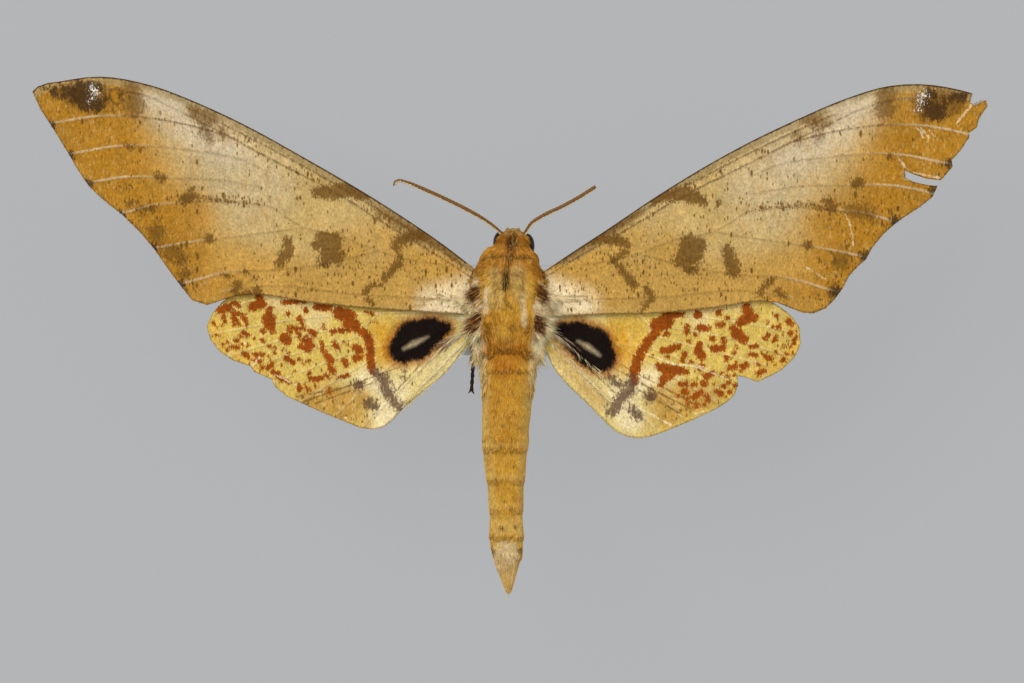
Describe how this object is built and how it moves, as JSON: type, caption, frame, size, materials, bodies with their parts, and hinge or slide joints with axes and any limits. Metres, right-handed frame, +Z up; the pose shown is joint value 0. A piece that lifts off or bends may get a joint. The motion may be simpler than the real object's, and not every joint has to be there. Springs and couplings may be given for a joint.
{
  "type": "life-size model of a set hawkmoth on a display stand",
  "caption": "Hawkmoth with spread buff forewings and yellow eye-spotted hindwings, held flat on a rod above a low oval base.",
  "frame": {"origin": "on the underside of the stand's base, straight below the middle of the thorax", "axes": "+Z up; +Y from tail to head; +X to the moth's right, along the span of the wings"},
  "size_m": [0.1141, 0.0623, 0.0313],
  "materials": {
    "coat": "matt, hairy scales",
    "forewing": "matt, fine scales",
    "hindwing": "matt, fine scales",
    "antenna": "dull horn",
    "leg": "dull horn with short scales",
    "eye": "satin, faceted",
    "stand_paint": "matt paint",
    "stand_steel": "fine brushed"
  },
  "bodies": {
    "root": {"head": "coat", "eye_left": "eye", "eye_right": "eye", "antenna_left": "antenna", "antenna_right": "antenna", "palp_left": "coat", "palp_right": "coat", "proboscis": "antenna", "thorax": "coat", "tegula_left": "coat", "tegula_right": "coat", "abdomen": "coat", "tail_tuft": "coat", "forewing_left": "forewing", "forewing_right": "forewing", "hindwing_left": "hindwing", "hindwing_right": "hindwing", "foreleg_left": "leg", "foreleg_right": "leg", "midleg_left": "leg", "midleg_right": "leg", "hindleg_left": "leg", "hindleg_right": "leg", "stand_base": "stand_paint", "stand_rod": "stand_steel"}
  },
  "joints": []
}
